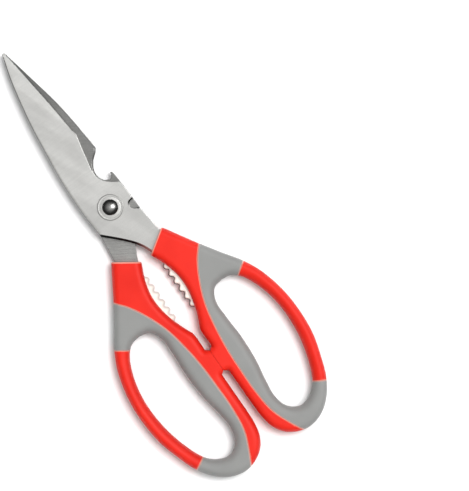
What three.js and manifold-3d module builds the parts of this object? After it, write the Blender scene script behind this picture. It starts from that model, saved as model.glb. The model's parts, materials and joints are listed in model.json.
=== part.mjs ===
// Poultry shears: two stamped steel blades on a domed rivet, each with a hard plastic handle moulded
// round its tang, a soft grip moulded over that handle, and a serrated steel nutcracker jaw.
// Millimetres, +Z up. The shears lie closed on their handles, tip towards +Y. The front blade is the
// upper one and carries the handle at +X. Outlines are drawn from the pivot, which is moved last so that
// the origin is the middle of the underside.
import * as THREE from "three";
import { mergeVertices } from "three/addons/utils/BufferGeometryUtils.js";
import Module from "manifold-3d";

const wasm = await Module();
wasm.setup();

// ---- driving dimensions ----
const HANDLE_THICK = 12;
const MID = HANDLE_THICK / 2; // height of the plane where the two blades meet
const BLADE_THICK = 2.5;
const BLADE_TIP_THICK = 1.3;
const TAPER_FROM_Y = 15; // the outer face slopes from here to the tip
const TIP_Y = 82.4;
const FOOT_Y = -129;
const CHAMFER = 1; // along the spine
const BEVEL_WIDTH = 0.9; // along the cutting edge
const EDGE_LEFT = 0.3; // thickness left at the cutting edge
const BLADE_GAP = 0.2; // running gap between the two blades
const JOINT_GAP = 0.3; // gap between moulded pieces
const STACK_GAP = 0.05; // gap between faces that are pressed together at the pivot

const SHANK_R = 2.6;
const PIVOT_HOLE_R = 2.7;
const WASHER_R = 5.8;
const WASHER_THICK = 0.5;
const HEAD_R = 3.5;
const HEAD_RIM = 0.4; // straight side under the dome
const HEAD_DOME = 1.5;
const CAP_R = 3.6;
const CAP_THICK = 1.4;

const EDGE_ROUND = 2.2; // how far the handle's rounded edge reaches in from its outline
const EDGE_DROP = 2.6; // and how far it drops
const RIB_THICK = 3.6; // the handle's rib inside the soft grip
const RIB_INSET = 2.6;

const JAW_THICK = 2.4;
const TOOTH_PITCH = 4;
const TOOTH_COUNT = 6;
const TOOTH_DEPTH = 1.4;
const TOOTH_TIP_X = 3.8;
const FIRST_TOOTH_Y = -35.2;
const STEPS_PER_TOOTH = 6;

const PAD_FACE_X = 0.15; // the stop pads face each other across the middle
const PAD_EDGE = 1.4; // how far they stay below the handle's faces
const CIRCLE_STEPS = 40;
const BELOW = -1; // cutters run from here, under everything,
const ABOVE = HANDLE_THICK + 1; // to here, over everything

// ---- colours ----
const STEEL = { color: 0xc9c9c6, metalness: 1, roughness: 0.35 };
const POLISHED = { color: 0xd8d8d6, metalness: 1, roughness: 0.12 };
const RED = { color: 0xf0281e, metalness: 0, roughness: 0.4 };
const GREY = { color: 0x9b9c98, metalness: 0, roughness: 0.75 };

// ---- outline helpers ----
const vec = ([x, y]) => new THREE.Vector2(x, y);

// A smooth curve through the points, in steps of about `step` mm. Two points make a line.
function curve(points, step = 3) {
  if (points.length === 2) return points.map(vec);
  const spline = new THREE.CatmullRomCurve3(points.map(([x, y]) => new THREE.Vector3(x, y, 0)));
  const count = Math.max(points.length - 1, Math.round(spline.getLength() / step));
  return spline.getSpacedPoints(count).map((p) => new THREE.Vector2(p.x, p.y));
}

// Stretches laid end to end, each starting where the one before ends.
const join = (...stretches) => stretches.flatMap((s) => s.slice(0, -1));

// An outline moved outwards by d, or inwards where d is negative. It runs anticlockwise.
function grow(points, d) {
  return points.map((p, i) => {
    const before = points[(i + points.length - 1) % points.length];
    const after = points[(i + 1) % points.length];
    const a = p.clone().sub(before).normalize();
    const b = after.clone().sub(p).normalize();
    const out = new THREE.Vector2(a.y + b.y, -a.x - b.x).normalize();
    const stretch = Math.min(2, 1 / Math.max(0.2, Math.sqrt((1 + a.dot(b)) / 2)));
    return p.clone().addScaledVector(out, d * stretch);
  });
}

// ---- solid helpers ----
function solid(geometry) {
  const g = geometry.index ? geometry : geometry.clone();
  g.deleteAttribute("normal");
  g.deleteAttribute("uv");
  const merged = mergeVertices(g, 1e-4);
  return new wasm.Manifold(
    new wasm.Mesh({
      numProp: 3,
      vertProperties: merged.attributes.position.array,
      triVerts: new Uint32Array(merged.index.array),
    }),
  );
}

function shapeOf(points, holes = []) {
  const shape = new THREE.Shape(points);
  holes.forEach((h) => shape.holes.push(new THREE.Path(h)));
  return shape;
}

// An outline as a plate between two heights.
function plate(points, low, high, holes = []) {
  const g = new THREE.ExtrudeGeometry(shapeOf(points, holes), { depth: high - low, bevelEnabled: false });
  return solid(g.translate(0, 0, low));
}

// The same with rounded edges; the outline is its widest section.
function roundedPlate(points, low, high, holes = []) {
  const g = new THREE.ExtrudeGeometry(shapeOf(points, holes), {
    depth: high - low - 2 * EDGE_DROP,
    bevelSize: EDGE_ROUND,
    bevelOffset: -EDGE_ROUND,
    bevelThickness: EDGE_DROP,
    bevelSegments: 2,
  });
  return solid(g.translate(0, 0, low + EDGE_DROP));
}

// A prism from a to b, whose section is drawn as (distance to the right of that way, height).
function prismAlong([ax, ay], [bx, by], section) {
  const length = Math.hypot(bx - ax, by - ay);
  const along = new THREE.Vector3((bx - ax) / length, (by - ay) / length, 0);
  const up = new THREE.Vector3(0, 0, 1);
  const right = along.clone().cross(up);
  const g = new THREE.ExtrudeGeometry(new THREE.Shape(section.map(vec)), {
    depth: length,
    bevelEnabled: false,
  });
  g.applyMatrix4(new THREE.Matrix4().makeBasis(right, up, along.negate()));
  return solid(g.translate(bx, by, 0));
}

// Cuts that section away along every stretch of a line of points.
function cutAlong(manifold, points, section) {
  let left = manifold;
  for (let i = 1; i < points.length; i++) {
    left = left.subtract(prismAlong(points[i - 1], points[i], section));
  }
  return left;
}

function lathe(profile) {
  const g = new THREE.LatheGeometry(profile.map(vec), CIRCLE_STEPS);
  return solid(g.rotateX(Math.PI / 2));
}

function geometryOf(manifold) {
  const m = manifold.getMesh();
  const g = new THREE.BufferGeometry();
  g.setAttribute("position", new THREE.BufferAttribute(new Float32Array(m.vertProperties), 3));
  g.setIndex(new THREE.BufferAttribute(new Uint32Array(m.triVerts), 1));
  const flat = g.toNonIndexed();
  flat.computeVertexNormals();
  return flat;
}

const flipX = (manifold) => manifold.mirror([1, 0, 0]);
const circle = (x, y, r) =>
  new THREE.Path().absarc(x, y, r, 0, 2 * Math.PI).getSpacedPoints(CIRCLE_STEPS).slice(0, -1);

// ---- the handle at +X, drawn from the pivot; the other one is its mirror image ----
const COLLAR_INNER = [2.5, -27.4];
const COLLAR_OUTER = [13.5, -19.9];
const SEAM_TOP = [22.9, -35.2]; // where the red and grey meet on the outer edge
const SEAM_FOOT = [14.2, -128.7];

function handleOutline() {
  const outer = [
    SEAM_TOP, [29, -44.4], [34.6, -52.6], [38.6, -61], [41.6, -73], [42.4, -84], [41.5, -96],
    [38.8, -106], [35, -116], [30, -123], [24.2, -127.3], [18, -129], [12.5, -128.2], [7, -125],
    [3.6, -120.2], [2.1, -113.5], [1.8, -106],
  ];
  const jawOpening = [
    [1.6, -66.4], [3.4, -62.5], [5.5, -57], [7.2, -49.5], [7.4, -42.5], [6.1, -36.2], COLLAR_INNER,
  ];
  return join(
    curve([...outer].reverse(), 3.4),
    curve([SEAM_TOP, COLLAR_OUTER]),
    curve([COLLAR_OUTER, COLLAR_INNER]),
    curve([...jawOpening].reverse(), 3.2),
    curve([jawOpening[0], [1.8, -86]]),
    curve([[1.8, -86], outer[outer.length - 1]]),
  );
}

function fingerHole() {
  const points = [
    [22, -53.9], [17.6, -55.1], [14.6, -60], [14.3, -68.5], [14.8, -79], [14.2, -91.5], [12.6, -101.5],
    [11.9, -109.5], [14, -116], [19.5, -119.3], [25.5, -117.2], [29.4, -113.1], [33.3, -103.8],
    [36, -92], [36.5, -79], [34.4, -67.5], [30.2, -58.2], [26.3, -54.7], [22, -53.9],
  ];
  return curve(points, 3.2).slice(0, -1);
}

// The grip's region seen from above: the soft grip is what the handle has inside it.
function gripRegion() {
  const seam = curve(
    [
      [25.4, -31.9], SEAM_TOP, [18.2, -41], [13.8, -49], [10.2, -58.3], [8.1, -68.5], [6.8, -79],
      [6.3, -91], [6.3, -102.5], [7.5, -113.5], [10.7, -121.8], SEAM_FOOT, [15.6, -131],
    ],
    4,
  );
  const round = [
    [39, -135], [39, -118.6], [26.5, -111.9], [25, -90], [26, -58.5], [38.6, -49.8], [37, -36],
  ];
  return [...seam, ...round.map(vec)];
}

const TANG_INNER = [[3.6, -26.5], [8.5, -34], [10.6, -40], [12.8, -43.6]];
const TANG_OUTER = [[15.2, -41.2], [17, -36], [16.2, -29], [12.2, -20.7]];
const TANG_ANCHORS = [[10.8, -30], [13.4, -37.6]]; // holes that the handle's plastic fills
const ANCHOR_R = 1.8;

function jawOutline() {
  const teeth = [];
  const last = TOOTH_COUNT * STEPS_PER_TOOTH;
  for (let i = 0; i <= last; i++) {
    const turn = i / STEPS_PER_TOOTH - 0.5;
    const x = TOOTH_TIP_X + (TOOTH_DEPTH / 2) * (1 - Math.cos(2 * Math.PI * turn));
    teeth.push(vec([x, FIRST_TOOTH_Y - turn * TOOTH_PITCH]));
  }
  const root = [[6.2, -57], [8, -55.4], [9.2, -50], [9.2, -42], [8, -36.6], [6.2, -33.6]].map(vec);
  return [...teeth, ...root];
}

function stopPad() {
  return [[3, -88.6], [3, -75], [1.5, -75.4], [PAD_FACE_X, -76.8], [PAD_FACE_X, -86.8], [1.5, -88.2]]
    .map(vec)
    .reverse();
}

// ---- the blades, drawn closed. The rear one is drawn turned over, so both lie the same way up ----
const HEEL = [10.7, -8.3]; // the shank's square corner behind the pivot
const CUT_EDGE = [[6, 35.2], [4.25, 54], [2.45, 68.5], [0.85, 80.9]];
const CUT_BACK = [[2.5, 17.2], [3.6, 23.4], CUT_EDGE[0]]; // the edge's unsharpened foot
const SPINE = [[-1.1, 80.9], [-4.2, 70], [-8.1, 50], [-9.9, 35], [-11.2, 22], [-11.6, 5]];
const OPENER_SPINE = [[-0.8, 80.9], [-3.1, 70], [-7.1, 50], [-9.1, 32], [-9.6, 25.6]];
const OPENER = [
  OPENER_SPINE[4], [-8.6, 24], [-5.3, 21], [-3.3, 17.4], [-3.2, 14.3], [-4.6, 11.6], [-6.8, 10.4],
];
const HOOK = [OPENER[6], [-8, 10.7], [-8.6, 11.4], [-9, 12.7], [-9.5, 12.4], [-9.95, 9]];

function tangStretches() {
  return [
    curve([[-HEEL[0], HEEL[1]], [-4, -15], [0, -19.6], [2, -22.8], TANG_INNER[0]], 4),
    curve(TANG_INNER, 5),
    curve([TANG_INNER[3], TANG_OUTER[0]]),
    curve(TANG_OUTER, 5),
  ];
}

function tip(from, to) {
  const bulge = 0.25;
  const near = TIP_Y - 0.5;
  const top = [(from[0] + to[0]) / 2, TIP_Y];
  return curve([from, [from[0] - bulge, near], top, [to[0] + bulge, near], to], 1);
}

// The blade over the other one: its edge is at +X, with a small notch in the shank beside the pivot.
function frontOutline() {
  return join(
    ...tangStretches(),
    curve([TANG_OUTER[3], [11.4, -14], [10.6, -7]], 5),
    curve([[10.6, -7], [8.4, -6.4], [7.2, -4.3], [8.2, -2.3], [10.3, -1.8]], 1.2),
    curve([[10.3, -1.8], [10.2, 3], [9.7, 7]], 4),
    curve([[9.7, 7], [5.3, 10.3], [3, 13.5], ...CUT_BACK], 2.6),
    curve(CUT_EDGE, 8),
    tip(CUT_EDGE[3], SPINE[0]),
    curve(SPINE, 7),
    curve([SPINE[5], [-HEEL[0], HEEL[1]]]),
  );
}

// The blade under it, as seen from below: its edge is at +X too, and its spine carries the opener.
function rearOutline() {
  return join(
    ...tangStretches(),
    curve([TANG_OUTER[3], [11.4, -14], [10.4, -4], [9.4, 7]], 5),
    curve([[9.4, 7], [4.6, 13], ...CUT_BACK], 4),
    curve(CUT_EDGE, 8),
    tip(CUT_EDGE[3], OPENER_SPINE[0]),
    curve(OPENER_SPINE, 7),
    curve(OPENER, 1.8),
    curve(HOOK, 1),
    curve([HOOK[5], [-10.4, 0], [-HEEL[0], HEEL[1]]], 5),
  );
}

// A blade with its flat inner face at height 0: it thins towards the tip, its spine is chamfered, and a
// bevel runs along its edge.
function blade(outline, spine) {
  const holes = [circle(0, 0, PIVOT_HOLE_R), ...TANG_ANCHORS.map(([x, y]) => circle(x, y, ANCHOR_R))];
  const over = BLADE_THICK + 1;
  const thinning = prismAlong([20, 0], [-20, 0], [
    [TAPER_FROM_Y, BLADE_THICK], [2 * TIP_Y - TAPER_FROM_Y, 2 * BLADE_TIP_THICK - BLADE_THICK],
    [2 * TIP_Y - TAPER_FROM_Y, over], [TAPER_FROM_Y, over],
  ]);
  const edgeSection = [
    [0, EDGE_LEFT], [1.5, EDGE_LEFT], [1.5, over], [-BEVEL_WIDTH, over], [-BEVEL_WIDTH, BLADE_THICK],
  ];
  const spineSection = [[CHAMFER + 1, over], [-1, over], [-1, BLADE_THICK - CHAMFER - 1]];
  const whole = plate(outline, 0, BLADE_THICK, holes).subtract(thinning);
  const edged = cutAlong(whole, CUT_EDGE, edgeSection);
  return cutAlong(edged, [...spine].reverse(), spineSection);
}

// ---- one handle at +X: the core, the grip over it and the jaw, round a tang between two heights ----
function handleParts(bladeOutline, tangLow, tangHigh) {
  const outline = handleOutline();
  const hole = fingerHole();
  const region = gripRegion();
  const body = roundedPlate(outline, 0, HANDLE_THICK, [hole]);
  const rib = (inset, thick) =>
    plate(grow(outline, -inset), MID - thick / 2, MID + thick / 2, [grow(hole, inset)]);
  const jaw = plate(jawOutline(), MID - JAW_THICK / 2, MID + JAW_THICK / 2);
  const jawPocket = plate(grow(jawOutline(), JOINT_GAP), MID - JAW_THICK / 2 - JOINT_GAP,
    MID + JAW_THICK / 2 + JOINT_GAP);
  const tangPocket = plate(grow(bladeOutline, JOINT_GAP), tangLow - JOINT_GAP, tangHigh + JOINT_GAP,
    TANG_ANCHORS.map(([x, y]) => circle(x, y, ANCHOR_R - JOINT_GAP)));
  const pad = plate(stopPad(), PAD_EDGE, HANDLE_THICK - PAD_EDGE);
  const grip = body
    .intersect(plate(region, BELOW, ABOVE))
    .subtract(rib(RIB_INSET - JOINT_GAP, RIB_THICK + 2 * JOINT_GAP));
  const core = body
    .subtract(plate(grow(region, JOINT_GAP), BELOW, ABOVE))
    .add(rib(RIB_INSET, RIB_THICK))
    .add(pad)
    .subtract(tangPocket)
    .subtract(jawPocket);
  return { core, grip, jaw };
}

// ---- the pivot stack, bottom to top ----
const REAR_FACE = MID - BLADE_GAP / 2 - BLADE_THICK; // underside of the lower blade
const FRONT_FACE = MID + BLADE_GAP / 2 + BLADE_THICK; // top of the upper blade
const REAR_WASHER_LOW = REAR_FACE - STACK_GAP - WASHER_THICK;
const FRONT_WASHER_HIGH = FRONT_FACE + STACK_GAP + WASHER_THICK;
const CAP_HIGH = REAR_WASHER_LOW - STACK_GAP;
const HEAD_LOW = FRONT_WASHER_HIGH + STACK_GAP;

function washer(low) {
  const edge = 0.25;
  return lathe([
    [PIVOT_HOLE_R, low], [WASHER_R, low], [WASHER_R, low + WASHER_THICK - edge],
    [WASHER_R - edge, low + WASHER_THICK], [PIVOT_HOLE_R, low + WASHER_THICK], [PIVOT_HOLE_R, low],
  ]);
}

function rivet() {
  const foot = CAP_HIGH - CAP_THICK;
  const dome = [90, 70, 50, 30, 10].map((deg) => {
    const a = THREE.MathUtils.degToRad(deg);
    return [HEAD_R * Math.sin(a), HEAD_LOW + HEAD_RIM + HEAD_DOME * Math.cos(a)];
  });
  return lathe([[0, foot], [SHANK_R, foot], [SHANK_R, HEAD_LOW], [HEAD_R, HEAD_LOW], ...dome,
    [0, HEAD_LOW + HEAD_RIM + HEAD_DOME]]);
}

function rivetCap() {
  const low = CAP_HIGH - CAP_THICK;
  const edge = 0.5;
  return lathe([
    [PIVOT_HOLE_R, low], [CAP_R - edge, low], [CAP_R, low + edge], [CAP_R, CAP_HIGH],
    [PIVOT_HOLE_R, CAP_HIGH], [PIVOT_HOLE_R, low],
  ]);
}

// ---- assembly ----
const group = new THREE.Group();

function addPart(name, manifold, look) {
  const mesh = new THREE.Mesh(geometryOf(manifold), new THREE.MeshStandardMaterial(look));
  mesh.name = name;
  group.add(mesh);
}

const frontLow = MID + BLADE_GAP / 2;
const frontBlade = blade(frontOutline(), SPINE).translate([0, 0, frontLow]);
const rearBlade = blade(rearOutline(), OPENER_SPINE)
  .rotate([0, 180, 0])
  .translate([0, 0, MID - BLADE_GAP / 2]);
const front = handleParts(frontOutline(), frontLow, FRONT_FACE);
const rear = handleParts(rearOutline(), REAR_FACE, MID - BLADE_GAP / 2);

addPart("front_blade", frontBlade, STEEL);
addPart("rear_blade", rearBlade, STEEL);
addPart("pivot_rivet", rivet(), POLISHED);
addPart("front_washer", washer(FRONT_FACE + STACK_GAP), POLISHED);
addPart("rear_washer", washer(REAR_WASHER_LOW), POLISHED);
addPart("rivet_cap", rivetCap(), POLISHED);
addPart("front_handle_core", front.core, RED);
addPart("rear_handle_core", flipX(rear.core), RED);
addPart("front_grip", front.grip, GREY);
addPart("rear_grip", flipX(rear.grip), GREY);
addPart("front_jaw", front.jaw, POLISHED);
addPart("rear_jaw", flipX(rear.jaw), POLISHED);

group.position.set(0, -(TIP_Y + FOOT_Y) / 2, 0);

export default group;
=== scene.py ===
"""Poultry shears, closed, lying on a white table under a soft studio light.

The outlines are drawn in millimetres from the pivot, as the CAD part's are: +Y to the tip, +X to the
handle of the upper blade, +Z up. Blades, handles, grips and jaws are slabs whose upper and lower faces
are heights worked out from how far a point lies from the piece's edges. The rivet and its rings are
turned about the pivot.
"""

import json
import math

import bpy
import numpy as np
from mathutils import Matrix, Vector
from mathutils.geometry import delaunay_2d_cdt


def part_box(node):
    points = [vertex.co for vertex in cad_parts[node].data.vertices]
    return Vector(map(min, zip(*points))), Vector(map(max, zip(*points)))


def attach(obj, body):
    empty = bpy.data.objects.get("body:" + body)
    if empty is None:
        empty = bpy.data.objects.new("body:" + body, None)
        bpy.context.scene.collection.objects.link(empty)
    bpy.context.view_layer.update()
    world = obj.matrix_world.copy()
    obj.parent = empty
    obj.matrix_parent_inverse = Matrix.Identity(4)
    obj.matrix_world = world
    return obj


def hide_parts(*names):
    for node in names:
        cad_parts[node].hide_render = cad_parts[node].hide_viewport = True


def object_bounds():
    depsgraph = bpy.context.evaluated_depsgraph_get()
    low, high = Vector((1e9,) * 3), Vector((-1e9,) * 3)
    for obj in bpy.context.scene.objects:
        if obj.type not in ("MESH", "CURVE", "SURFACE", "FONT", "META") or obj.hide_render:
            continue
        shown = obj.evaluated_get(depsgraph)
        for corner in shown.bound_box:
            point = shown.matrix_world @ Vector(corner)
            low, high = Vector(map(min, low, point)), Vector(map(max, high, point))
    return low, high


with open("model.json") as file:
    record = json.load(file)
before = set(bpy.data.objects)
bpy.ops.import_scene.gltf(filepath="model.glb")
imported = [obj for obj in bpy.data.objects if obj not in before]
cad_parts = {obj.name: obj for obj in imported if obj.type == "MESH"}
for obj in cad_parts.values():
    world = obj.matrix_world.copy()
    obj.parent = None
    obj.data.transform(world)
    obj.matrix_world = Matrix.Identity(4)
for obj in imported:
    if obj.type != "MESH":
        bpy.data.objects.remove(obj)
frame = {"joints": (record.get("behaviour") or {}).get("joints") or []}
CAD_LOW, CAD_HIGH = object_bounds()

# ---- places and sizes taken from the frame, in millimetres ----
MM = 0.001
PIVOT = Vector(frame["joints"][0]["pos_m"]) / MM
HANDLE_THICK = (CAD_HIGH.z - CAD_LOW.z) / MM
MID = PIVOT.z  # height of the plane where the blades meet


def node_heights(node):
    """The lowest and the highest point of a CAD node."""
    low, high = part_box(node)
    return low.z / MM, high.z / MM


def node_radius(node):
    """The radius of a round CAD node."""
    low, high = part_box(node)
    return (high.x - low.x) / 2 / MM


REAR_HIGH = node_heights("rear_blade")[1]
FRONT_LOW, FRONT_HIGH = node_heights("front_blade")
WASHER_LOW, WASHER_HIGH = node_heights("front_washer")
REAR_WASHER_LOW, REAR_WASHER_HIGH = node_heights("rear_washer")
CAP_LOW, CAP_HIGH = node_heights("rivet_cap")
RIVET_LOW, RIVET_HIGH = node_heights("pivot_rivet")
JAW_LOW, JAW_HIGH = node_heights("front_jaw")
BLADE_THICK = FRONT_HIGH - FRONT_LOW
TIP_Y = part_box("rear_blade")[1].y / MM - PIVOT.y
WASHER_R, HEAD_R, CAP_R = map(node_radius, ("front_washer", "pivot_rivet", "rivet_cap"))

# ---- steps and limits of the meshes, lengths in millimetres ----
OUTLINE_STEP = 0.7
SHOULDER_STEP = 0.5  # for the tighter curves of a blade
OPENER_STEP = 0.4
DETAIL_STEP = 0.3  # for the notch and the hook
TIP_STEP = 0.25
CORNER_STEP = 0.25
BLADE_GRID = 1.1
HANDLE_GRID = 1.0
JAW_GRID = 0.6
GRID_ROOM = 0.9  # how near a handle's grid comes to its lines
ROW_ROOM = 0.045  # how near its rows come to another line
SPAN_SAMPLES = 40  # samples between two points of a curve, before they are spaced evenly
BATCH = 2000  # points whose distances are worked out at a time
FOLD_SHARE = 0.93  # a row's point that is nearer to its line than this share of its depth is in a fold
BLADE_FOLD_SHARE = 0.9  # the same for the lines on a blade and the blade's outline
MERGE_REACH = 1e-5
SLIVER_AREA = 1e-9  # a triangle with less than half of this is left out
BORE_STEPS = 64
TURN_STEPS = 96  # sides of a turned piece
ARC_POINTS = 6
ROUNDNESS = 2.3  # of a rounded edge: 2 is a quarter circle, and more is fuller

# ---- shape of the handles, in millimetres ----
EDGE_ROUND = 3.1  # reach of the handles' rounded edges
HOLE_ROUND = 4.2  # the grips fall away further towards the finger holes
SIDE_BAND = 0.9  # half height of the upright band left round a handle
COLLAR_ROUND = 0.8
COLLAR_CORNER = 0.9  # radius of its corners, seen from above
COLLAR_FALL = 0.18  # share of its height that the handle loses at the collar's end
COLLAR_HIGHLIGHT = 0.5  # width of the painted highlight along the collar's end
COLLAR_OVER = 3  # how far past its corners the collar's end counts
PAD_ROUND = 0.15
PAD_CORNER = 0.4
PAD_FALL = 0.03  # share of its height that the handle loses at the stop pad's face
SEAM_GAP = 0.06  # half the gap between the red and the grey
SEAM_LIP = 0.42  # reach of the small rounded lip beside a seam
SEAM_DROP = 0.22

# ---- shape of the blades, in millimetres ----
BORE_R = 2.7
SHANK_R = 2.6  # the rivet's
GRIND_SLOPE = 0.075  # the blades are ground thinner on the tip side of their grind line
SPINE_CHAMFER = [(-9, 1.0), (20, 0.9), (50, 0.6), (83, 0.35)]  # (place along the blade, width there)
SPINE_DROP = 0.1
BEVEL_WIDTH = 0.55
BEVEL_RUN_IN = 3
SHANK_CHAMFER = 0.95
SHANK_DROP = 0.7
NOTCH_EDGE = 0.65  # width of the painted shadow round the notch
EDGE_LEFT = 0.3  # thickness left at the cutting edge
SOFT_EDGE = 0.22  # reach of the broken edge round a blade
SOFT_DROP = 0.14
OPENER_RIM = 0.75
OPENER_DROP = 0.5
CREASE_STEP = 0.07  # distance between the two lines where a dark mark ends sharply
MARK_SLACK = 0.03  # how far past its line a mark still counts, where it takes in the line's points
MARK_SHORT = 0.05  # how far short of its line a mark stops, where it leaves the line's points out

# ---- how dark the painted shade, painted shadows and painted dark reflections are, from 0 to 1 ----
OUTLINE_MARK = 0.38
SPINE_MARK = 0.3
SPINE_TIP_MARK = 0.7
BEVEL_MARK = 0.92
OPENER_MARK = 0.45
REAR_TIP_MARK = 0.35
TOOTH_MARK = 0.97
JAW_BAND_MARK = 0.45
WASHER_RIM_MARK = 0.45
GROOVE_MARK = 0.3
DOME_MARK = 0.9

# ---- shape of the jaws, in millimetres ----
TOOTH_PITCH = 4
TOOTH_COUNT = 6
TOOTH_DEPTH = 1.25
TOOTH_TIP_X = 3.9
TOOTH_POINTS = 14  # points along one tooth
TOOTH_SHARPNESS = 1.6  # above 1 the tooth tips are broader than the hollows
TOOTH_CHAMFER = 0.8
TOOTH_CHAMFER_DROP = 1.6
FIRST_TOOTH_Y = -35.2
TOOTH_LINE = 0.45  # width of the painted shade along the chamfered teeth
JAW_BAND = 1.4  # width of the soft painted shade along the plain side's teeth
JAW_SOFT_EDGE = 0.3
JAW_SOFT_DROP = 0.2

# ---- shape of the rivet and washers, in millimetres ----
WASHER_EDGE = 0.2
WASHER_RIM = 0.45  # width of the washer's painted dark rim
GROOVE_R = WASHER_R - 1
GROOVE_HALF = 0.15
GROOVE_DEEP = 0.03
HEAD_GAP = 0.05  # between the washer and the head
HEAD_RIM = 0.2  # height of the upright rim under the dome
HEAD_EDGE = 0.1
FOOT_EDGE = 0.4
CAP_EDGE = 0.5

# ---- outlines ----


def curve(points, step=OUTLINE_STEP):
    """A centripetal Catmull-Rom curve through the points, as evenly spaced points about `step` apart."""
    p = np.array(points, float)
    if len(p) == 2:
        count = max(1, round(np.linalg.norm(p[1] - p[0]) / step))
        return p[0] + (p[1] - p[0]) * np.linspace(0, 1, count + 1)[:, None]
    p = np.vstack([2 * p[0] - p[1], p, 2 * p[-1] - p[-2]])
    dense = []
    for a, b, c, d in zip(p, p[1:], p[2:], p[3:]):
        ta, tb, tc = (max(1e-6, np.linalg.norm(v) ** 0.5) for v in (b - a, c - b, d - c))
        m0 = ((b - a) / ta - (c - a) / (ta + tb) + (c - b) / tb) * tb
        m1 = ((c - b) / tb - (d - b) / (tb + tc) + (d - c) / tc) * tb
        t = np.linspace(0, 1, SPAN_SAMPLES, endpoint=False)[:, None]
        dense.append(
            (2 * t**3 - 3 * t**2 + 1) * b
            + (t**3 - 2 * t**2 + t) * m0
            + (3 * t**2 - 2 * t**3) * c
            + (t**3 - t**2) * m1
        )
    dense = np.vstack([*dense, p[-2]])
    run = np.concatenate([[0], np.cumsum(np.linalg.norm(np.diff(dense, axis=0), axis=1))])
    at = np.linspace(0, run[-1], max(2, round(run[-1] / step) + 1))
    return np.column_stack([np.interp(at, run, dense[:, 0]), np.interp(at, run, dense[:, 1])])


def join(*stretches):
    """Stretches laid end to end, each starting where the one before ends, as one closed outline."""
    return np.vstack([s[:-1] for s in stretches])


def rounded(points, radius):
    """Straight lines through the points, with each corner between them rounded."""
    p = [np.array(q, float) for q in points]
    out = [p[0][None]]
    for a, b, c in zip(p, p[1:], p[2:]):
        start = b + (a - b) / np.linalg.norm(a - b) * radius
        end = b + (c - b) / np.linalg.norm(c - b) * radius
        t = np.linspace(0, 1, max(4, round(radius / CORNER_STEP)))[:, None]
        out.append((1 - t) ** 2 * start + 2 * t * (1 - t) * b + t**2 * end)
    out.append(p[-1][None])
    corners = np.vstack(out)
    pieces = []
    for a, b in zip(corners, corners[1:]):
        count = max(1, round(np.linalg.norm(b - a) / OUTLINE_STEP))
        pieces.append(a + (b - a) * np.linspace(0, 1, count + 1)[:-1, None])
    return np.vstack([*pieces, corners[-1]])


def circle(radius):
    """A circle round the pivot."""
    turn = np.linspace(0, 2 * math.pi, BORE_STEPS, endpoint=False)
    return np.column_stack([radius * np.cos(turn), radius * np.sin(turn)])


def closed(points):
    """A closed outline as a line that ends where it starts."""
    return np.vstack([points, points[:1]])


def further(start, end, over):
    """A point `over` past the end of the line from start to end."""
    a, b = np.array(start, float), np.array(end, float)
    return b + (b - a) / np.linalg.norm(b - a) * over


def outward(points):
    """Unit normals of an anticlockwise closed outline, pointing out of it."""
    along = np.roll(points, -1, axis=0) - np.roll(points, 1, axis=0)
    along /= np.linalg.norm(along, axis=1)[:, None] + 1e-12
    return np.column_stack([along[:, 1], -along[:, 0]])


def sideways(line):
    """Unit normals of an open line, pointing to the right of its direction."""
    along = np.gradient(line, axis=0)
    along /= np.linalg.norm(along, axis=1)[:, None]
    return np.column_stack([along[:, 1], -along[:, 0]])


def distance(points, line):
    """Each point's distance to a line of points."""
    a, b = line[:-1], line[1:]
    ab = b - a
    size = (ab**2).sum(1) + 1e-12
    best = np.full(len(points), np.inf)
    for start in range(0, len(points), BATCH):
        p = points[start : start + BATCH, None]
        t = np.clip(((p - a) * ab).sum(2) / size, 0, 1)
        gap = p - (a + t[..., None] * ab)
        best[start : start + BATCH] = np.sqrt((gap**2).sum(2)).min(1)
    return best


def inside(points, outline):
    """Whether each point is inside a closed outline."""
    a, b = outline, np.roll(outline, -1, axis=0)
    x, y = points[:, 0][:, None], points[:, 1][:, None]
    rise = b[:, 1] - a[:, 1]
    rise = np.where(np.abs(rise) < 1e-12, 1e-12, rise)
    crosses = ((a[:, 1] > y) != (b[:, 1] > y)) & (x < (b[:, 0] - a[:, 0]) * (y - a[:, 1]) / rise + a[:, 0])
    return crosses.sum(1) % 2 == 1


def rows_beside(line, normal, depths):
    """Rows of points at those depths behind a line's normals, without the points where a row folds."""
    rows = []
    for d in depths:
        row = line[: len(normal)] - normal * d
        rows.append(row[distance(row, line) > FOLD_SHARE * abs(d)])
    return np.vstack(rows)


def rows_inside(outline, depths):
    """Rows of points at those depths inside a closed outline, or outside it where they are below 0."""
    return rows_beside(closed(outline), outward(outline), depths)


def hex_grid(outline, step):
    """Points `step` apart in staggered rows, over the outline's box."""
    low, high = outline.min(0), outline.max(0)
    rows = []
    for k, y in enumerate(np.arange(low[1], high[1], step * math.sqrt(3) / 2)):
        x = np.arange(low[0] + (k % 2) * step / 2, high[0], step)
        rows.append(np.column_stack([x, np.full(len(x), y)]))
    return np.vstack(rows)


# ---- meshes ----


def triangulate(loops, lines, points):
    """Triangles over the area inside the first loop and outside the others, that keep to every line."""
    xy, edges = [], []
    for part, is_loop in [(p, True) for p in loops] + [(p, False) for p in lines]:
        start = sum(len(q) for q in xy)
        count = len(part)
        xy.append(part)
        edges += [(start + i, start + i + 1) for i in range(count - 1)]
        if is_loop:
            edges.append((start + count - 1, start))
    xy = np.vstack([*xy, points])
    out = delaunay_2d_cdt([Vector(p) for p in xy], edges, [], 0, MERGE_REACH, False)
    flat = np.array([tuple(v) for v in out[0]])
    tris = np.array(out[2])
    middle = flat[tris].mean(1)
    keep = inside(middle, loops[0])
    for hole in loops[1:]:
        keep &= ~inside(middle, hole)
    return flat, tris[keep]


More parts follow.
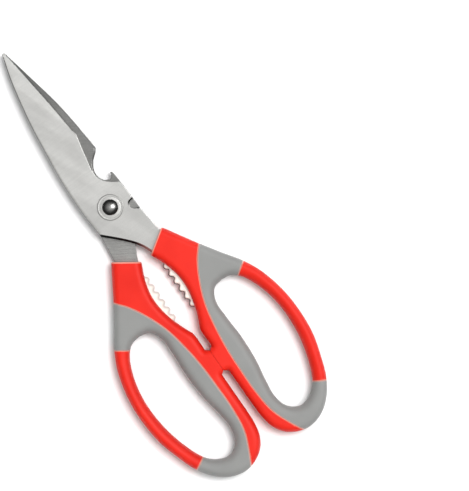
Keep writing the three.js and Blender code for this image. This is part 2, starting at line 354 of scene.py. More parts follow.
def slab(flat, tris, top, bottom):
    """A closed body over those triangles: an upper face, a lower face and upright walls."""
    used = np.unique(tris)
    index = np.full(len(flat), -1)
    index[used] = np.arange(len(used))
    tris = index[tris]
    flat = flat[used]
    a, b, c = flat[tris[:, 0]], flat[tris[:, 1]], flat[tris[:, 2]]
    turn = (b[:, 0] - a[:, 0]) * (c[:, 1] - a[:, 1]) - (b[:, 1] - a[:, 1]) * (c[:, 0] - a[:, 0])
    tris = tris[np.abs(turn) > SLIVER_AREA]
    flip = turn[np.abs(turn) > SLIVER_AREA] < 0
    tris[flip] = tris[flip][:, ::-1]
    count = len(flat)
    edges = np.vstack([tris[:, [0, 1]], tris[:, [1, 2]], tris[:, [2, 0]]])
    seen = set(map(tuple, edges.tolist()))
    border = [(i, j) for i, j in seen if (j, i) not in seen]
    border.sort()
    verts = np.vstack([np.column_stack([flat, top(flat)]), np.column_stack([flat, bottom(flat)])])
    faces = [tuple(t) for t in tris.tolist()]
    faces += [(t[2] + count, t[1] + count, t[0] + count) for t in tris.tolist()]
    faces += [(i + count, j + count, j, i) for i, j in border]
    return verts, faces


def mirror_x(body):
    """The same body for the other side of the pivot."""
    verts, faces = body
    return verts * [-1, 1, 1], [f[::-1] for f in faces]


def turn_over(body, height):
    """Half a turn about the Y axis, which swaps up and down, leaving height 0 at `height`."""
    verts, faces = body
    return verts * [-1, 1, -1] + [0, 0, height], faces


def lathe(profile):
    """Turns a profile of (radius, height) about the pivot. It starts and ends on the axis, or closes."""
    on_axis = profile[0][0] == 0
    turn = np.linspace(0, 2 * math.pi, TURN_STEPS, endpoint=False)
    verts, rings = [], []
    for r, z in profile:
        if r == 0:
            rings.append([len(verts)] * TURN_STEPS)
            verts.append((0, 0, z))
        else:
            rings.append(list(range(len(verts), len(verts) + TURN_STEPS)))
            verts += [(r * math.cos(t), r * math.sin(t), z) for t in turn]
    if not on_axis:
        rings.append(rings[0])
    faces = []
    for low, high in zip(rings, rings[1:]):
        for i in range(TURN_STEPS):
            j = (i + 1) % TURN_STEPS
            face = [low[i], low[j], high[j], high[i]]
            faces.append(tuple(dict.fromkeys(face)))
    return np.array(verts, float), faces


def arc(r, z, radius, start, end):
    """Points of a profile's rounded corner, by angles in degrees."""
    turns = np.radians(np.linspace(start, end, ARC_POINTS))
    return [(r + radius * math.cos(t), z + radius * math.sin(t)) for t in turns]


def shifted(body, height):
    """The body raised by `height`."""
    verts, faces = body
    return verts + [0, 0, height], faces


def piece(name, body, material, rides, replaces, slot, sharp=30, marks=None):
    """Makes a piece of the shears, which rides on a body and replaces CAD nodes.

    sharp is the angle in degrees from which an edge isn't shaded smooth. marks is (attribute name, a
    value for each vertex) of painted shade or painted highlight, which the piece's material reads.
    """
    verts, faces = body
    mesh = bpy.data.meshes.new(name)
    place = (verts + [PIVOT.x, PIVOT.y, 0]) * MM
    mesh.from_pydata(place.tolist(), [], faces)
    mesh.update()
    mesh.polygons.foreach_set("use_smooth", [True] * len(mesh.polygons))
    mesh.set_sharp_from_angle(angle=math.radians(sharp))
    mesh.materials.append(material)
    if marks is not None:
        values = mesh.attributes.new(marks[0], "FLOAT", "POINT")
        values.data.foreach_set("value", marks[1].astype(np.float32))
    obj = bpy.data.objects.new(name, mesh)
    bpy.context.scene.collection.objects.link(obj)
    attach(obj, rides)
    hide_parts(*replaces)


# ---- materials ----


class Nodes:
    """A material's node tree, with a short way to add and link nodes."""

    def __init__(self, name):
        self.material = bpy.data.materials.new(name)
        self.material.use_nodes = True
        self.tree = self.material.node_tree
        self.shader = self.tree.nodes["Principled BSDF"]

    def add(self, kind, inputs=None, **settings):
        """A node of that kind, with values or links for its inputs."""
        node = self.tree.nodes.new(kind)
        for key, value in settings.items():
            setattr(node, key, value)
        for key, value in (inputs or {}).items():
            self.give(node.inputs[key], value)
        return node

    def give(self, socket, value):
        """Links the value to the socket if it comes out of a node, or sets it there."""
        if isinstance(value, bpy.types.NodeSocket):
            self.tree.links.new(value, socket)
        else:
            socket.default_value = value

    def into(self, name, value):
        """The same for a socket of the material's shader."""
        self.give(self.shader.inputs[name], value)

    def place(self, scale=(1, 1, 1), turn=0):
        """Coordinates in the piece's own millimetres, turned about Z by degrees, then scaled."""
        coords = self.add("ShaderNodeTexCoord").outputs["Object"]
        turned = self.add(
            "ShaderNodeMapping", {"Vector": coords, "Rotation": (0, 0, math.radians(turn))}
        ).outputs[0]
        return self.add(
            "ShaderNodeMapping", {"Vector": turned, "Scale": tuple(s / MM for s in scale)}
        ).outputs[0]

    def noise(self, vector, detail, roughness):
        """Noise with about one feature for each unit of the vector."""
        return self.add(
            "ShaderNodeTexNoise",
            {"Vector": vector, "Scale": 1, "Detail": detail, "Roughness": roughness},
        ).outputs["Fac"]

    def attribute(self, name):
        """The marks that a piece's vertices carry."""
        return self.add("ShaderNodeAttribute", attribute_name=name).outputs["Fac"]

    def spread(self, value, low, high, from_low=0.3, from_high=0.7):
        """The value stretched so that from_low gives low and from_high gives high."""
        return self.add(
            "ShaderNodeMapRange",
            {"Value": value, "From Min": from_low, "From Max": from_high, "To Min": low, "To Max": high},
        ).outputs[0]

    def mix(self, factor, a, b):
        """Colour a where the factor is 0 and colour b where it is 1."""
        node = self.add("ShaderNodeMix", data_type="RGBA")
        for key, kind, value in (("Factor", "VALUE", factor), ("A", "RGBA", a), ("B", "RGBA", b)):
            self.give(next(s for s in node.inputs if s.name == key and s.type == kind), value)
        return next(s for s in node.outputs if s.type == "RGBA")

    def bump(self, height, strength, depth):
        """A bumped normal, with its depth in millimetres."""
        return self.add(
            "ShaderNodeBump", {"Height": height, "Strength": strength, "Distance": depth * MM}
        ).outputs[0]


def grey(value):
    """A slightly warm grey."""
    return (value, value * 0.995, value * 0.965, 1)


def brushed_steel(name, colour, tang_colour, roughness, turn, grain):
    """Steel ground in one direction, with cloudy stains, and painted shade where the piece's marks lie:
    dark edges, chamfers and bevel, and painted shadows.

    turn is the direction of the grinding in degrees, and grain is how strongly it shows.
    """
    m = Nodes(name)
    coarse = m.noise(m.place((0.12, 1.7, 1.7), turn), 3, 0.6)
    fine = m.noise(m.place((2.2, 6, 6), turn), 2, 0.6)
    cloud = m.noise(m.place((0.16, 0.05, 0.1), -25), 4, 0.55)
    lines = m.add("ShaderNodeMath", {0: coarse, 1: fine}, operation="ADD").outputs[0]
    along = m.add("ShaderNodeSeparateXYZ", {0: m.place()}).outputs["Y"]
    tang_share = m.spread(along, 1, 0, PIVOT.y - 4, PIVOT.y + 8)
    tone = m.mix(tang_share, grey(colour), grey(tang_colour))
    tone = m.mix(m.spread(lines, 0, grain, 0.7, 1.3), tone, grey(colour * 0.55))
    tone = m.mix(m.spread(cloud, 0, 0.4, 0.35, 0.65), tone, grey(colour * 0.6))
    # painted shade: the colour goes nearly black where the piece's marks lie
    m.into("Base Color", m.mix(m.attribute("edge"), tone, grey(0.02)))
    m.into("Metallic", 1.0)
    m.into("Roughness", m.spread(fine, roughness * 0.85, roughness * 1.15))
    m.into("Normal", m.bump(lines, 0.4, 0.012))
    return m.material


def plated_metal():
    """Pale satin plating, with painted shade along the cut edges of its teeth."""
    m = Nodes("jaw_metal")
    grain = m.noise(m.place((5, 5, 5)), 3, 0.6)
    tone = m.mix(m.spread(grain, 0, 1), (0.8649, 0.8277, 0.7626, 1), (0.93, 0.89, 0.82, 1))
    # painted shade along the teeth where the jaw's marks lie
    m.into("Base Color", m.mix(m.attribute("edge"), tone, (0.045, 0.032, 0.03, 1)))
    m.into("Metallic", 0.35)
    m.into("Roughness", m.spread(grain, 0.45, 0.6))
    m.into("Normal", m.bump(grain, 0.3, 0.01))
    return m.material


def polished_steel(name, colour, roughness):
    """Turned and polished metal, a little rough with wear, and painted dark where its marks lie: painted
    shade round a washer's rim and groove, and a painted dark reflection on the dome's flanks.
    """
    m = Nodes(name)
    wear = m.noise(m.place((1.4, 1.4, 1.4)), 5, 0.6)
    tone = m.mix(m.spread(wear, 0, 1), grey(colour * 0.9), grey(colour))
    # painted shade and painted dark reflections where the piece's marks lie
    m.into("Base Color", m.mix(m.attribute("edge"), tone, grey(0.015)))
    m.into("Metallic", 1.0)
    m.into("Roughness", m.spread(wear, roughness * 0.7, roughness * 1.5))
    return m.material


def red_plastic():
    """Moulded semi-gloss plastic, with a little cloud and grain, and a painted highlight along its seams
    and the collar's end.
    """
    m = Nodes("red_plastic")
    cloud = m.noise(m.place((0.05, 0.05, 0.05)), 2, 0.5)
    grain = m.noise(m.place((4, 4, 4)), 3, 0.6)
    tone = m.mix(m.spread(cloud, 0, 1), (0.66, 0.014, 0.006, 1), (0.75, 0.022, 0.011, 1))
    # painted highlight along the seams and the collar's end
    m.into("Base Color", m.mix(m.attribute("seam"), tone, (0.8, 0.32, 0.25, 1)))
    m.into("Roughness", m.spread(grain, 0.46, 0.58))
    m.into("Normal", m.bump(grain, 0.15, 0.05))
    m.into("Specular IOR Level", 0.2)
    m.into("Subsurface Weight", 0.12)
    m.into("Subsurface Radius", (0.9, 0.2, 0.1))
    m.into("Subsurface Scale", 1.2 * MM)
    return m.material


def grey_grip():
    """Matt soft plastic, with a fine grain, and a red-tinted painted highlight along its seams."""
    m = Nodes("grey_soft_grip")
    cloud = m.noise(m.place((0.06, 0.06, 0.06)), 3, 0.5)
    grain = m.noise(m.place((7, 7, 7)), 2, 0.7)
    tone = m.mix(m.spread(cloud, 0, 1), (0.222, 0.224, 0.218, 1), (0.245, 0.247, 0.24, 1))
    # painted highlight along the seams
    m.into("Base Color", m.mix(m.attribute("seam"), tone, (0.7, 0.35, 0.29, 1)))
    m.into("Roughness", m.spread(grain, 0.62, 0.78))
    m.into("Normal", m.bump(grain, 0.3, 0.04))
    m.into("Sheen Weight", 0.15)
    m.into("Sheen Roughness", 0.5)
    return m.material


# ---- handles ----
COLLAR_INNER = (2.5, -27.4)
COLLAR_OUTER = (13.5, -19.9)
SEAM_TOP = (22.9, -35.2)
SEAM_FOOT = (14.2, -128.7)
PAD = [(1.8, -88.4), (0.03, -87), (0.03, -76.6), (1.75, -75.2)]  # stop pad
JAW_TOP = (4.6, -31.9)


def handle_outline(over=0.0):
    """The handle at +X. The collar's end and the stop pad can be drawn `over` mm too long."""
    outer = [
        SEAM_TOP, (29, -44.4), (34.6, -52.6), (38.6, -61), (41.6, -73), (42.4, -84), (41.5, -96),
        (38.8, -106), (35, -116), (30, -123), (24.2, -127.3), (18, -129), (12.5, -128.2), (7, -125),
        (3.6, -120.2), (2.1, -113.5), (1.8, -106),
    ]
    jaw_side = [
        (1.6, -69), (1.9, -66.2), (3.5, -62.5), (5.5, -57), (7.2, -49.5), (7.4, -42.5), (6.1, -36.2),
        JAW_TOP,
    ]
    collar = [further(SEAM_TOP, COLLAR_OUTER, over), further(JAW_TOP, COLLAR_INNER, over)]
    pad = [(x - over * (x < 1), y) for x, y in PAD]
    return join(
        curve(outer[::-1]),
        rounded([SEAM_TOP, *collar, JAW_TOP], COLLAR_CORNER),
        curve(jaw_side[::-1]),
        rounded([jaw_side[0], *pad[::-1], outer[-1]], PAD_CORNER),
    )


def finger_hole():
    """The outline of the handle's hole."""
    points = [
        (22, -53.9), (17.6, -55.1), (14.6, -60), (14.3, -68.5), (14.8, -79), (14.2, -91.5), (12.6, -101.5),
        (11.9, -109.5), (14, -116), (19.5, -119.3), (25.5, -117.2), (29.4, -113.1), (33.3, -103.8),
        (36, -92), (36.5, -79), (34.4, -67.5), (30.2, -58.2), (26.3, -54.7), (22, -53.9),
    ]
    return curve(points)[:-1]


def grip_region():
    """The area that the grey covers: its seams, and a way round outside the handle and across the hole."""
    seam = curve([
        (25.4, -31.9), SEAM_TOP, (18.2, -41), (13.8, -49), (10.2, -58.3), (8.1, -68.5), (6.8, -79),
        (6.3, -91), (6.3, -102.5), (7.5, -113.5), (10.7, -121.8), SEAM_FOOT, (15.6, -131),
    ])
    foot = curve([(39, -118.6), (26.5, -111.9)])
    top = curve([(26, -58.5), (38.6, -49.8)])
    return np.vstack([seam, [(39, -135)], foot, [(25, -90)], top, [(37, -36)]]), [seam, foot, top]


def round_over(d, reach):
    """From 0 at an edge to 1 where its rounding ends, upright at the edge."""
    t = 1 - np.clip(d / reach, 0, 1)
    return (1 - t**ROUNDNESS) ** (1 / ROUNDNESS)


def handle_bodies():
    """The red core and the grey grip of the handle at +X, split along the seams, with the painted highlight
    along their seams and the collar's end.
    """
    outline, hole = handle_outline(), finger_hole()
    region, seams = grip_region()
    border, rim = closed(outline), closed(hole)

    def from_seam(xy):
        return np.min([distance(xy, s) for s in seams], axis=0)

    edge_depths = [0.05, 0.18, 0.42, 0.8, 1.35, 2.05, 2.9]
    hole_depths = [-d for d in (*edge_depths, 3.8)]
    lip_depths = [side * d for d in (0.16, 0.3, 0.5, 0.85) for side in (1, -1)]
    rows = [
        rows_inside(outline, edge_depths),
        rows_inside(hole, hole_depths),
        *(rows_beside(s, sideways(s), lip_depths) for s in seams),
    ]
    rows = np.vstack(rows)
    points = np.vstack([rows, hex_grid(outline, HANDLE_GRID)])
    room = np.where(np.arange(len(points)) < len(rows), ROW_ROOM, GRID_ROOM)
    clear = np.min([distance(points, border), distance(points, rim), from_seam(points)], axis=0) > room
    points = points[clear & inside(points, outline) & ~inside(points, hole)]
    split = [s + side * SEAM_GAP * sideways(s) for s in seams for side in (1, -1)]
    flat, tris = triangulate([outline, hole], split, points)

    # The collar's end and the pad's face have small roundings of their own, so the outline that gives
    # the big rounding runs on past them.
    sides = closed(handle_outline(EDGE_ROUND + 1))
    collar_end = np.array([
        further(COLLAR_INNER, COLLAR_OUTER, COLLAR_OVER),
        further(COLLAR_OUTER, COLLAR_INNER, COLLAR_OVER),
    ])
    pad_face = np.array(PAD[1:3], float)
    half = HANDLE_THICK / 2

    def rise(xy):
        """How far the handle's faces lie above and below its middle."""
        side = round_over(distance(xy, sides), EDGE_ROUND) * round_over(distance(xy, rim), HOLE_ROUND)
        collar = 1 - COLLAR_FALL * (1 - round_over(distance(xy, collar_end), COLLAR_ROUND))
        pad = 1 - PAD_FALL * (1 - round_over(distance(xy, pad_face), PAD_ROUND))
        full = SIDE_BAND + (half - SIDE_BAND) * side * collar * pad
        return full - SEAM_DROP * (1 - np.clip(from_seam(xy) / SEAM_LIP, 0, 1)) ** 2

    middle = flat[tris].mean(1)
    in_grip = inside(middle, region)
    in_gap = from_seam(middle) < SEAM_GAP * 0.98
    collar_line = np.array([COLLAR_INNER, COLLAR_OUTER])
    bodies = []
    for chosen in (~in_grip & ~in_gap, in_grip & ~in_gap):
        body = slab(flat, tris[chosen], lambda xy: MID + rise(xy), lambda xy: MID - rise(xy))
        xy = body[0][:, :2]
        # painted highlight beside the seams and along the collar's end
        seam_highlight = 1 - np.clip((from_seam(xy) - SEAM_GAP) / SEAM_LIP, 0, 1)
        collar_highlight = (distance(xy, collar_line) < COLLAR_HIGHLIGHT) & (distance(xy, border) > 0.02)
        bodies.append((body, np.maximum(seam_highlight, collar_highlight)))
    return bodies


# ---- jaws ----


def jaw_body():
    """The jaw at +X: a plate with teeth that are chamfered on its upper face, and its marks of painted
    shade along the teeth.
    """
    turn = np.linspace(0, TOOTH_COUNT, TOOTH_COUNT * TOOTH_POINTS + 1) - 0.5
    wave = (1 - np.cos(2 * math.pi * turn)) / 2
    teeth = np.column_stack([
        TOOTH_TIP_X + TOOTH_DEPTH * wave**TOOTH_SHARPNESS,
        FIRST_TOOTH_Y - turn * TOOTH_PITCH,
    ])
    back = curve([(6.2, -57), (8, -55.4), (9.2, -50), (9.2, -42), (8, -36.6), (6.2, -33.6)])
    outline = join(teeth, curve([teeth[-1], back[0]]), back, curve([back[-1], teeth[0]]))
    rows = rows_inside(outline, [0.08, 0.16, JAW_SOFT_EDGE, 0.55, TOOTH_CHAMFER])
    points = np.vstack([rows, hex_grid(outline, JAW_GRID)])
    points = points[inside(points, outline) & (distance(points, closed(outline)) > 0.06)]
    flat, tris = triangulate([outline], [], points)

    def soften(xy):
        return JAW_SOFT_DROP * (1 - round_over(distance(xy, closed(outline)), JAW_SOFT_EDGE))

    def top(xy):
        chamfer = TOOTH_CHAMFER_DROP * np.clip(1 - distance(xy, teeth) / TOOTH_CHAMFER, 0, 1)
        return JAW_HIGH - np.maximum(soften(xy), chamfer)

    body = slab(flat, tris, top, lambda xy: JAW_LOW + soften(xy))
    from_teeth = distance(body[0][:, :2], teeth)
    upper = body[0][:, 2] > JAW_LOW + 0.5
    # painted shade: a dark line along the chamfered teeth on the upper face, and a soft band of painted
    # shade along the teeth on the plain lower face
    tooth_shade_line = TOOTH_MARK * (from_teeth < TOOTH_LINE)
    tooth_shade_band = JAW_BAND_MARK * np.clip(JAW_BAND - from_teeth, 0, 1)
    return body, np.where(upper, tooth_shade_line, tooth_shade_band)


# ---- blades, drawn as in the CAD part: each with its edge at +X and its flat inner face down ----
TANG_END = [(3.6, -26.5), (7.2, -31.8), (17.2, -26.6), (12.2, -20.7)]
CUT_EDGE = [(6, 35.2), (4.25, 54), (2.45, 68.5), (0.85, 80.9)]
CUT_BACK = [(2.5, 17.2), (3.6, 23.4), CUT_EDGE[0]]
SPINE = [(-1.1, 80.9), (-4.2, 70), (-8.1, 50), (-9.9, 35), (-11.2, 22), (-11.6, 5), (-10.7, -8.3)]
SHANK_LOWER = [SPINE[-1], (-4, -15), (0, -19.6), (2, -22.8), TANG_END[0]]
GRIND_LINE = [(6, 36.4), (-4.2, 68.6)]  # from the edge's heel across to the spine
OPENER_SPINE = [(-0.8, 80.9), (-3.1, 70), (-7.1, 50), (-9.1, 32), (-9.6, 25.6)]
OPENER = [(-9.6, 25.6), (-8.6, 24), (-5.3, 21), (-3.3, 17.4), (-3.2, 14.3), (-4.6, 11.6), (-6.8, 10.4)]
HOOK = [(-6.8, 10.4), (-7.85, 10.75), (-8.45, 11.5), (-8.87, 12.85), (-9.5, 12.4), (-9.95, 9)]
NOTCH = [(10.6, -7), (8.4, -6.4), (7.3, -4.4), (8.4, -2.8), (10.45, -2.4)]
NOTCH_CORNER = (9.6, -6.75)  # painted shade in the notch's lower corner starts here


def tang():
    """The stretches of a blade's outline along its shank and round the end of its tang."""
    return [curve(SHANK_LOWER, SHOULDER_STEP), *(curve(pair) for pair in zip(TANG_END, TANG_END[1:]))]


def tip(start, end):
    """A rounded tip from the end of the cutting edge to the start of the spine."""
    middle = (start[0] + end[0]) / 2
    bulge = 0.25
    near = TIP_Y - 0.5
    return curve([start, (start[0] - bulge, near), (middle, TIP_Y), (end[0] + bulge, near), end], TIP_STEP)


def front_outline():
    """The upper blade, with the notch in its heel."""
    return join(
        *tang(),
        curve([TANG_END[3], (11.4, -14), NOTCH[0]], SHOULDER_STEP),
        curve(NOTCH, DETAIL_STEP),
        curve([NOTCH[4], (10.2, 3), (9.7, 7)], SHOULDER_STEP),
        curve([(9.7, 7), (5.3, 10.3), (3, 13.5), *CUT_BACK], SHOULDER_STEP),
        curve(CUT_EDGE),
        tip(CUT_EDGE[3], SPINE[0]),
        curve(SPINE),
    )


def rear_outline():
    """The lower blade, with the bottle opener and its hook in the spine."""
    return join(
        *tang(),
        curve([TANG_END[3], (11.4, -14), (10.4, -4), (9.4, 7)], SHOULDER_STEP),
        curve([(9.4, 7), (4.6, 13), *CUT_BACK], SHOULDER_STEP),
        curve(CUT_EDGE),
        tip(CUT_EDGE[3], OPENER_SPINE[0]),
        curve(OPENER_SPINE),
        curve(OPENER, OPENER_STEP),
        curve(HOOK, DETAIL_STEP),
        curve([HOOK[5], (-10.4, 0), SPINE[-1]], SHOULDER_STEP),
    )


def blade_body(outline, spine, has_opener):
    """A blade on height 0 that is tapered, chamfered along its spine and bevelled at its edge, and its
    marks of painted shade.
    """
    hole = circle(BORE_R)
    border = closed(outline)
    spine_line, edge_line, shank_line = curve(spine), curve(CUT_EDGE), curve(SHANK_LOWER, SHOULDER_STEP)
    notch_line = curve(NOTCH[2:], DETAIL_STEP)
    notch_corner = curve([NOTCH_CORNER, NOTCH[0]])
    opener_line = curve(OPENER, OPENER_STEP)

    def beside(line, d):
        row = line - sideways(line) * np.reshape(d, (-1, 1))
        return row[inside(row, outline) & (distance(row, border) > BLADE_FOLD_SHARE * d)]

    def chamfer_width(xy):
        return np.interp(xy[:, 1], *zip(*SPINE_CHAMFER))

    grind_line = curve(GRIND_LINE)
    grind_normal = outward(grind_line)[1]
    creases = [
        grind_line[inside(grind_line, outline) & (distance(grind_line, border) > 1)],
        beside(spine_line, chamfer_width(spine_line)),
        beside(edge_line, BEVEL_WIDTH),
        beside(shank_line, SHANK_CHAMFER),
        beside(shank_line, SHANK_CHAMFER + CREASE_STEP),
    ]
    if has_opener:
        creases.append(beside(opener_line, OPENER_RIM))
    else:
        creases += [beside(notch_line, NOTCH_EDGE), beside(notch_line, NOTCH_EDGE + CREASE_STEP)]
    points = np.vstack([rows_inside(outline, [0.05, 0.1, SOFT_EDGE]), hex_grid(outline, BLADE_GRID)])
    clear = np.min([distance(points, line) for line in (border, closed(hole), *creases)], axis=0)
    points = points[inside(points, outline) & ~inside(points, hole) & (clear > 0.04)]
    flat, tris = triangulate([outline, hole], creases, points)

    def fade_in(xy, start, reach):
        """From 0 at a place along the blade to 1 at `reach` further towards the tip."""
        return np.clip((xy[:, 1] - start) / reach, 0, 1)

    def bevel_share(xy):
        return fade_in(xy, CUT_EDGE[0][1], BEVEL_RUN_IN)

    def opener_share(xy):
        return fade_in(xy, OPENER[5][1], 4)

    def soften(xy):
        return SOFT_DROP * (1 - round_over(distance(xy, border), SOFT_EDGE))

    def top(xy):
        thick = BLADE_THICK - GRIND_SLOPE * np.clip((xy - grind_line[0]) @ grind_normal, 0, None)
        spine_cut = SPINE_DROP * np.clip(1 - distance(xy, spine_line) / chamfer_width(xy), 0, 1)
        shank_cut = SHANK_DROP * np.clip(1 - distance(xy, shank_line) / SHANK_CHAMFER, 0, 1)
        bevel = np.clip(1 - distance(xy, edge_line) / BEVEL_WIDTH, 0, 1)
        edge_cut = bevel_share(xy) * (thick - EDGE_LEFT) * bevel
        cut = np.max([spine_cut * thick / BLADE_THICK, shank_cut, edge_cut], axis=0)
        return thick - cut - soften(xy) * (cut < 0.01)

    def bottom(xy):
        soft = soften(xy) * (distance(xy, edge_line) > BEVEL_WIDTH)
        if not has_opener:
            return soft
        rim = np.clip(1 - distance(xy, opener_line) / OPENER_RIM, 0, 1)
        return soft + OPENER_DROP * opener_share(xy) * rim

    body = slab(flat, tris, top, bottom)
    xy = body[0][:, :2]
    upper = body[0][:, 2] > BLADE_THICK / 3

    def near(line, reach):
        return distance(xy, line) < reach

    spine_mark = SPINE_MARK + (SPINE_TIP_MARK - SPINE_MARK) * fade_in(xy, 40, 40)
    shank_mark = np.clip(1.2 - 0.4 * xy[:, 0].clip(0), 0, 1)  # painted shadow along the shank, which fades out where the tang begins
    # Painted shade: a dark line round the outline and on the spine chamfer, darker towards the tip, a
    # painted dark reflection on the bevel, and a painted shadow on the shank's lower chamfer.
    marks = [
        OUTLINE_MARK * near(border, SOFT_EDGE * 0.9),
        spine_mark * near(spine_line, SOFT_EDGE + MARK_SLACK),
        BEVEL_MARK * bevel_share(xy) * near(edge_line, BEVEL_WIDTH - MARK_SHORT),
        shank_mark * upper * near(shank_line, SHANK_CHAMFER + MARK_SLACK),
    ]
    if has_opener:
        # painted shade on the opener's rim, and painted shade under the upper blade that darkens towards
        # the tip
        marks.append(OPENER_MARK * opener_share(xy) * near(opener_line, OPENER_RIM - MARK_SHORT))
        marks.append(REAR_TIP_MARK * fade_in(xy, 45, 25))
    else:
        # a painted shadow on the notch's wall, and painted shade in its lower corner
        marks.append(upper * fade_in(xy, NOTCH[2][1], 1.5) * near(notch_line, NOTCH_EDGE + MARK_SLACK))
        marks.append(upper * near(notch_corner, 0.4))
    return body, np.max(marks, axis=0)


# ---- pivot stack ----


def washer_body(low, high):
    """A flat ring with a rounded upper rim and a fine turned groove."""
    return lathe([
        (BORE_R, low), (WASHER_R - WASHER_EDGE, low), (WASHER_R, low + WASHER_EDGE),
        *arc(WASHER_R - WASHER_EDGE, high - WASHER_EDGE, WASHER_EDGE, 0, 90),
        (WASHER_R - WASHER_RIM + GROOVE_HALF, high), (WASHER_R - WASHER_RIM, high),
        (GROOVE_R + GROOVE_HALF, high), (GROOVE_R, high - GROOVE_DEEP), (GROOVE_R - GROOVE_HALF, high),
        (BORE_R, high),
    ])


def washer_painted_shade(body):
    """Painted shade round its rim, and less in its groove."""
    r = np.hypot(body[0][:, 0], body[0][:, 1])
    rim = r > WASHER_R - WASHER_RIM + GROOVE_HALF / 2
    groove = abs(r - GROOVE_R) < GROOVE_HALF / 2
    return np.maximum(WASHER_RIM_MARK * rim, GROOVE_MARK * groove)


def rivet_body():
    """A shank with a rounded foot, under a domed head that has a short upright rim."""
    base = WASHER_HIGH + HEAD_GAP
    rim = base + HEAD_RIM
    dome = [(HEAD_R * r, rim + (RIVET_HIGH - rim) * (1 - r * r)) for r in np.linspace(1, 0.03, 24)]
    return lathe([
        (0, RIVET_LOW), *arc(SHANK_R - FOOT_EDGE, RIVET_LOW + FOOT_EDGE, FOOT_EDGE, -90, 0),
        (SHANK_R, base), *arc(HEAD_R - HEAD_EDGE, base + HEAD_EDGE, HEAD_EDGE, -90, 0), *dome,
        (0, RIVET_HIGH),
    ])


def dome_painted_reflection(body):
    """Painted dark reflection on the dome's flanks, fading out towards its polished top."""
    r = np.hypot(body[0][:, 0], body[0][:, 1])
    return np.clip((r / HEAD_R - 0.3) / 0.5, 0, DOME_MARK)


def cap_body():
    """A ring with a rounded lower edge, which closes the stack from below."""
    return lathe([
        (BORE_R, CAP_LOW), *arc(CAP_R - CAP_EDGE, CAP_LOW + CAP_EDGE, CAP_EDGE, -90, 0),
        (CAP_R, CAP_HIGH), (BORE_R, CAP_HIGH),
    ])


# ---- assembly ----
FRONT, REAR = "front_half", "rear_half"
front_steel = brushed_steel("blade_steel_front", 0.7, 0.63, roughness=0.32, turn=0, grain=0.3)
# The lower blade is darker than the upper, most of all along the blade: partly the ground finish of its
# inner face, partly painted shade under and beside the upper blade.
rear_steel = brushed_steel("blade_steel_rear", 0.29, 0.44, roughness=0.34, turn=32, grain=0.65)
washer_steel = polished_steel("washer_steel", 0.6, roughness=0.36)
rivet_steel = polished_steel("rivet_steel", 0.4, roughness=0.27)
jaw_metal = plated_metal()
red = red_plastic()
grip = grey_grip()

upper_shape, upper_marks = blade_body(front_outline(), SPINE, has_opener=False)
lower_shape, lower_marks = blade_body(rear_outline(), OPENER_SPINE, has_opener=True)
for name, shape, marks, steel, body_name, node in (
    ("blade_upper", shifted(upper_shape, FRONT_LOW), upper_marks, front_steel, FRONT, "front_blade"),
    ("blade_lower", turn_over(lower_shape, REAR_HIGH), lower_marks, rear_steel, REAR, "rear_blade"),
):
    piece(name, shape, steel, body_name, [node], "blade_steel", sharp=6, marks=("edge", marks))

rivet = rivet_body()
marks = ("edge", dome_painted_reflection(rivet))
piece("rivet", rivet, rivet_steel, REAR, ["pivot_rivet"], "polished_steel", marks=marks)
for name, shape, body_name, node in (
    ("washer_upper", washer_body(WASHER_LOW, WASHER_HIGH), FRONT, "front_washer"),
    ("washer_lower", washer_body(REAR_WASHER_LOW, REAR_WASHER_HIGH), REAR, "rear_washer"),
):
    marks = ("edge", washer_painted_shade(shape))
    piece(name, shape, washer_steel, body_name, [node], "polished_steel", sharp=12, marks=marks)
piece("rivet_foot", cap_body(), washer_steel, REAR, ["rivet_cap"], "polished_steel")

(core_shape, core_highlight), (grip_shape, grip_highlight) = handle_bodies()
jaw_shape, jaw_marks = jaw_body()
for side, body_name, lay_handle, lay_jaw in (
    ("front", FRONT, lambda body: body, lambda body: body),
    ("rear", REAR, mirror_x, lambda body: turn_over(body, JAW_LOW + JAW_HIGH)),
):
    for part, shape, seam, material, slot in (
        ("handle_core", core_shape, core_highlight, red, "red_plastic"),
        ("grip", grip_shape, grip_highlight, grip, "grey_soft_grip"),
    ):
        node = f"{side}_{part}"
        piece(f"{node}_skin", lay_handle(shape), material, body_name, [node], slot, marks=("seam", seam))
    node = f"{side}_jaw"
    marks = ("edge", jaw_marks)
    piece(f"{node}_teeth", lay_jaw(jaw_shape), jaw_metal, body_name, [node], "jaw_metal", marks=marks)

# ---- floor, light and camera, in millimetres unless said otherwise ----
VIEW_CENTRE = (35.2, -44.9)  # what the camera looks straight down at, from the pivot
VIEW_TURN = -34.85  # degrees that the camera is turned about the upright axis
VIEW_HEIGHT = 216.0  # how much of the table the picture's long side shows
LENS = 200
SENSOR = 36
TABLE_REACH = 3.0  # metres
TABLE_GAP = 0.00005  # metres from the table up to the shears
HORIZON_LIGHT = 0.25
ZENITH_LIGHT = 0.45
HORIZON_TOP = 0.1  # up to this height the studio is as bright as the horizon: 0 is level, 1 is upright
ZENITH_FOOT = 0.85  # and from here on as bright as the zenith
# Softboxes: name, metres to the right of, up from and above the shears' middle, size, watts, whether
# it shows in gloss, whether it lights matt surfaces.
LIGHTS = [
    ("key", (0.52, 0.34, 2), 0.75, 36, False, True),
    ("fill", (0, 0, 2), 4, 9, False, True),
    ("overhead", (0.4, 0, 2.2), 2.0, 6.5, True, True),
    ("glint", (0.65, 0.3, 0.8), 0.78, 12.5, True, False),
]


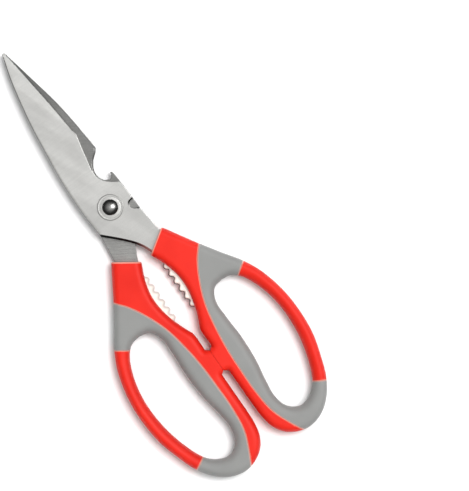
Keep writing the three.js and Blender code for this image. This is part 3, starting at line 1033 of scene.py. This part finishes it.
def make_floor():
    """A wide white table just under the shears."""
    mesh = bpy.data.meshes.new("table")
    level = CAD_LOW.z - TABLE_GAP
    corners = [(x * TABLE_REACH, y * TABLE_REACH, level) for x, y in ((-1, -1), (1, -1), (1, 1), (-1, 1))]
    mesh.from_pydata(corners, [], [(0, 1, 2, 3)])
    m = Nodes("table_white")
    m.into("Base Color", (0.93, 0.93, 0.93, 1))
    m.into("Roughness", 0.9)
    m.into("Specular IOR Level", 0.0)
    mesh.materials.append(m.material)
    obj = bpy.data.objects.new("table", mesh)
    bpy.context.scene.collection.objects.link(obj)


def make_lights():
    """Square softboxes that face the shears' middle. Right and up are the picture's."""
    turn = math.radians(VIEW_TURN)
    right = Vector((math.cos(turn), math.sin(turn), 0))
    up = Vector((-math.sin(turn), math.cos(turn), 0))
    for name, (across, along, above), size, power, in_gloss, on_matt in LIGHTS:
        data = bpy.data.lights.new(name, "AREA")
        data.size = size
        data.energy = power
        obj = bpy.data.objects.new(name, data)
        bpy.context.scene.collection.objects.link(obj)
        obj.location = right * across + up * along + Vector((0, 0, above))
        obj.rotation_euler = (-obj.location).to_track_quat("-Z", "Y").to_euler()
        obj.visible_glossy = in_gloss
        obj.visible_diffuse = on_matt


def make_camera():
    """A camera that looks straight down, turned so that the shears lie across the picture."""
    data = bpy.data.cameras.new("camera")
    data.lens = LENS
    data.sensor_width = SENSOR
    data.clip_start = 0.05
    obj = bpy.data.objects.new("camera", data)
    bpy.context.scene.collection.objects.link(obj)
    height = VIEW_HEIGHT * LENS / SENSOR + MID
    obj.location = ((PIVOT.x + VIEW_CENTRE[0]) * MM, (PIVOT.y + VIEW_CENTRE[1]) * MM, height * MM)
    obj.rotation_euler = (0, 0, math.radians(VIEW_TURN))
    bpy.context.scene.camera = obj


def make_world():
    """A studio that is bright above and darker round the sides."""
    world = bpy.data.worlds.new("studio")
    world.use_nodes = True
    tree = world.node_tree
    place = tree.nodes.new("ShaderNodeTexCoord")
    parts = tree.nodes.new("ShaderNodeSeparateXYZ")
    ramp = tree.nodes.new("ShaderNodeMapRange")
    ramp.interpolation_type = "SMOOTHSTEP"
    ramp.inputs["From Min"].default_value = HORIZON_TOP
    ramp.inputs["From Max"].default_value = ZENITH_FOOT
    ramp.inputs["To Min"].default_value = HORIZON_LIGHT
    ramp.inputs["To Max"].default_value = ZENITH_LIGHT
    tree.links.new(place.outputs["Generated"], parts.inputs[0])
    tree.links.new(parts.outputs["Z"], ramp.inputs["Value"])
    background = tree.nodes["Background"]
    background.inputs["Color"].default_value = (1, 1, 1, 1)
    tree.links.new(ramp.outputs[0], background.inputs["Strength"])
    bpy.context.scene.world = world


make_floor()
make_lights()
make_world()
make_camera()
bpy.context.scene.view_settings.view_transform = "Standard"
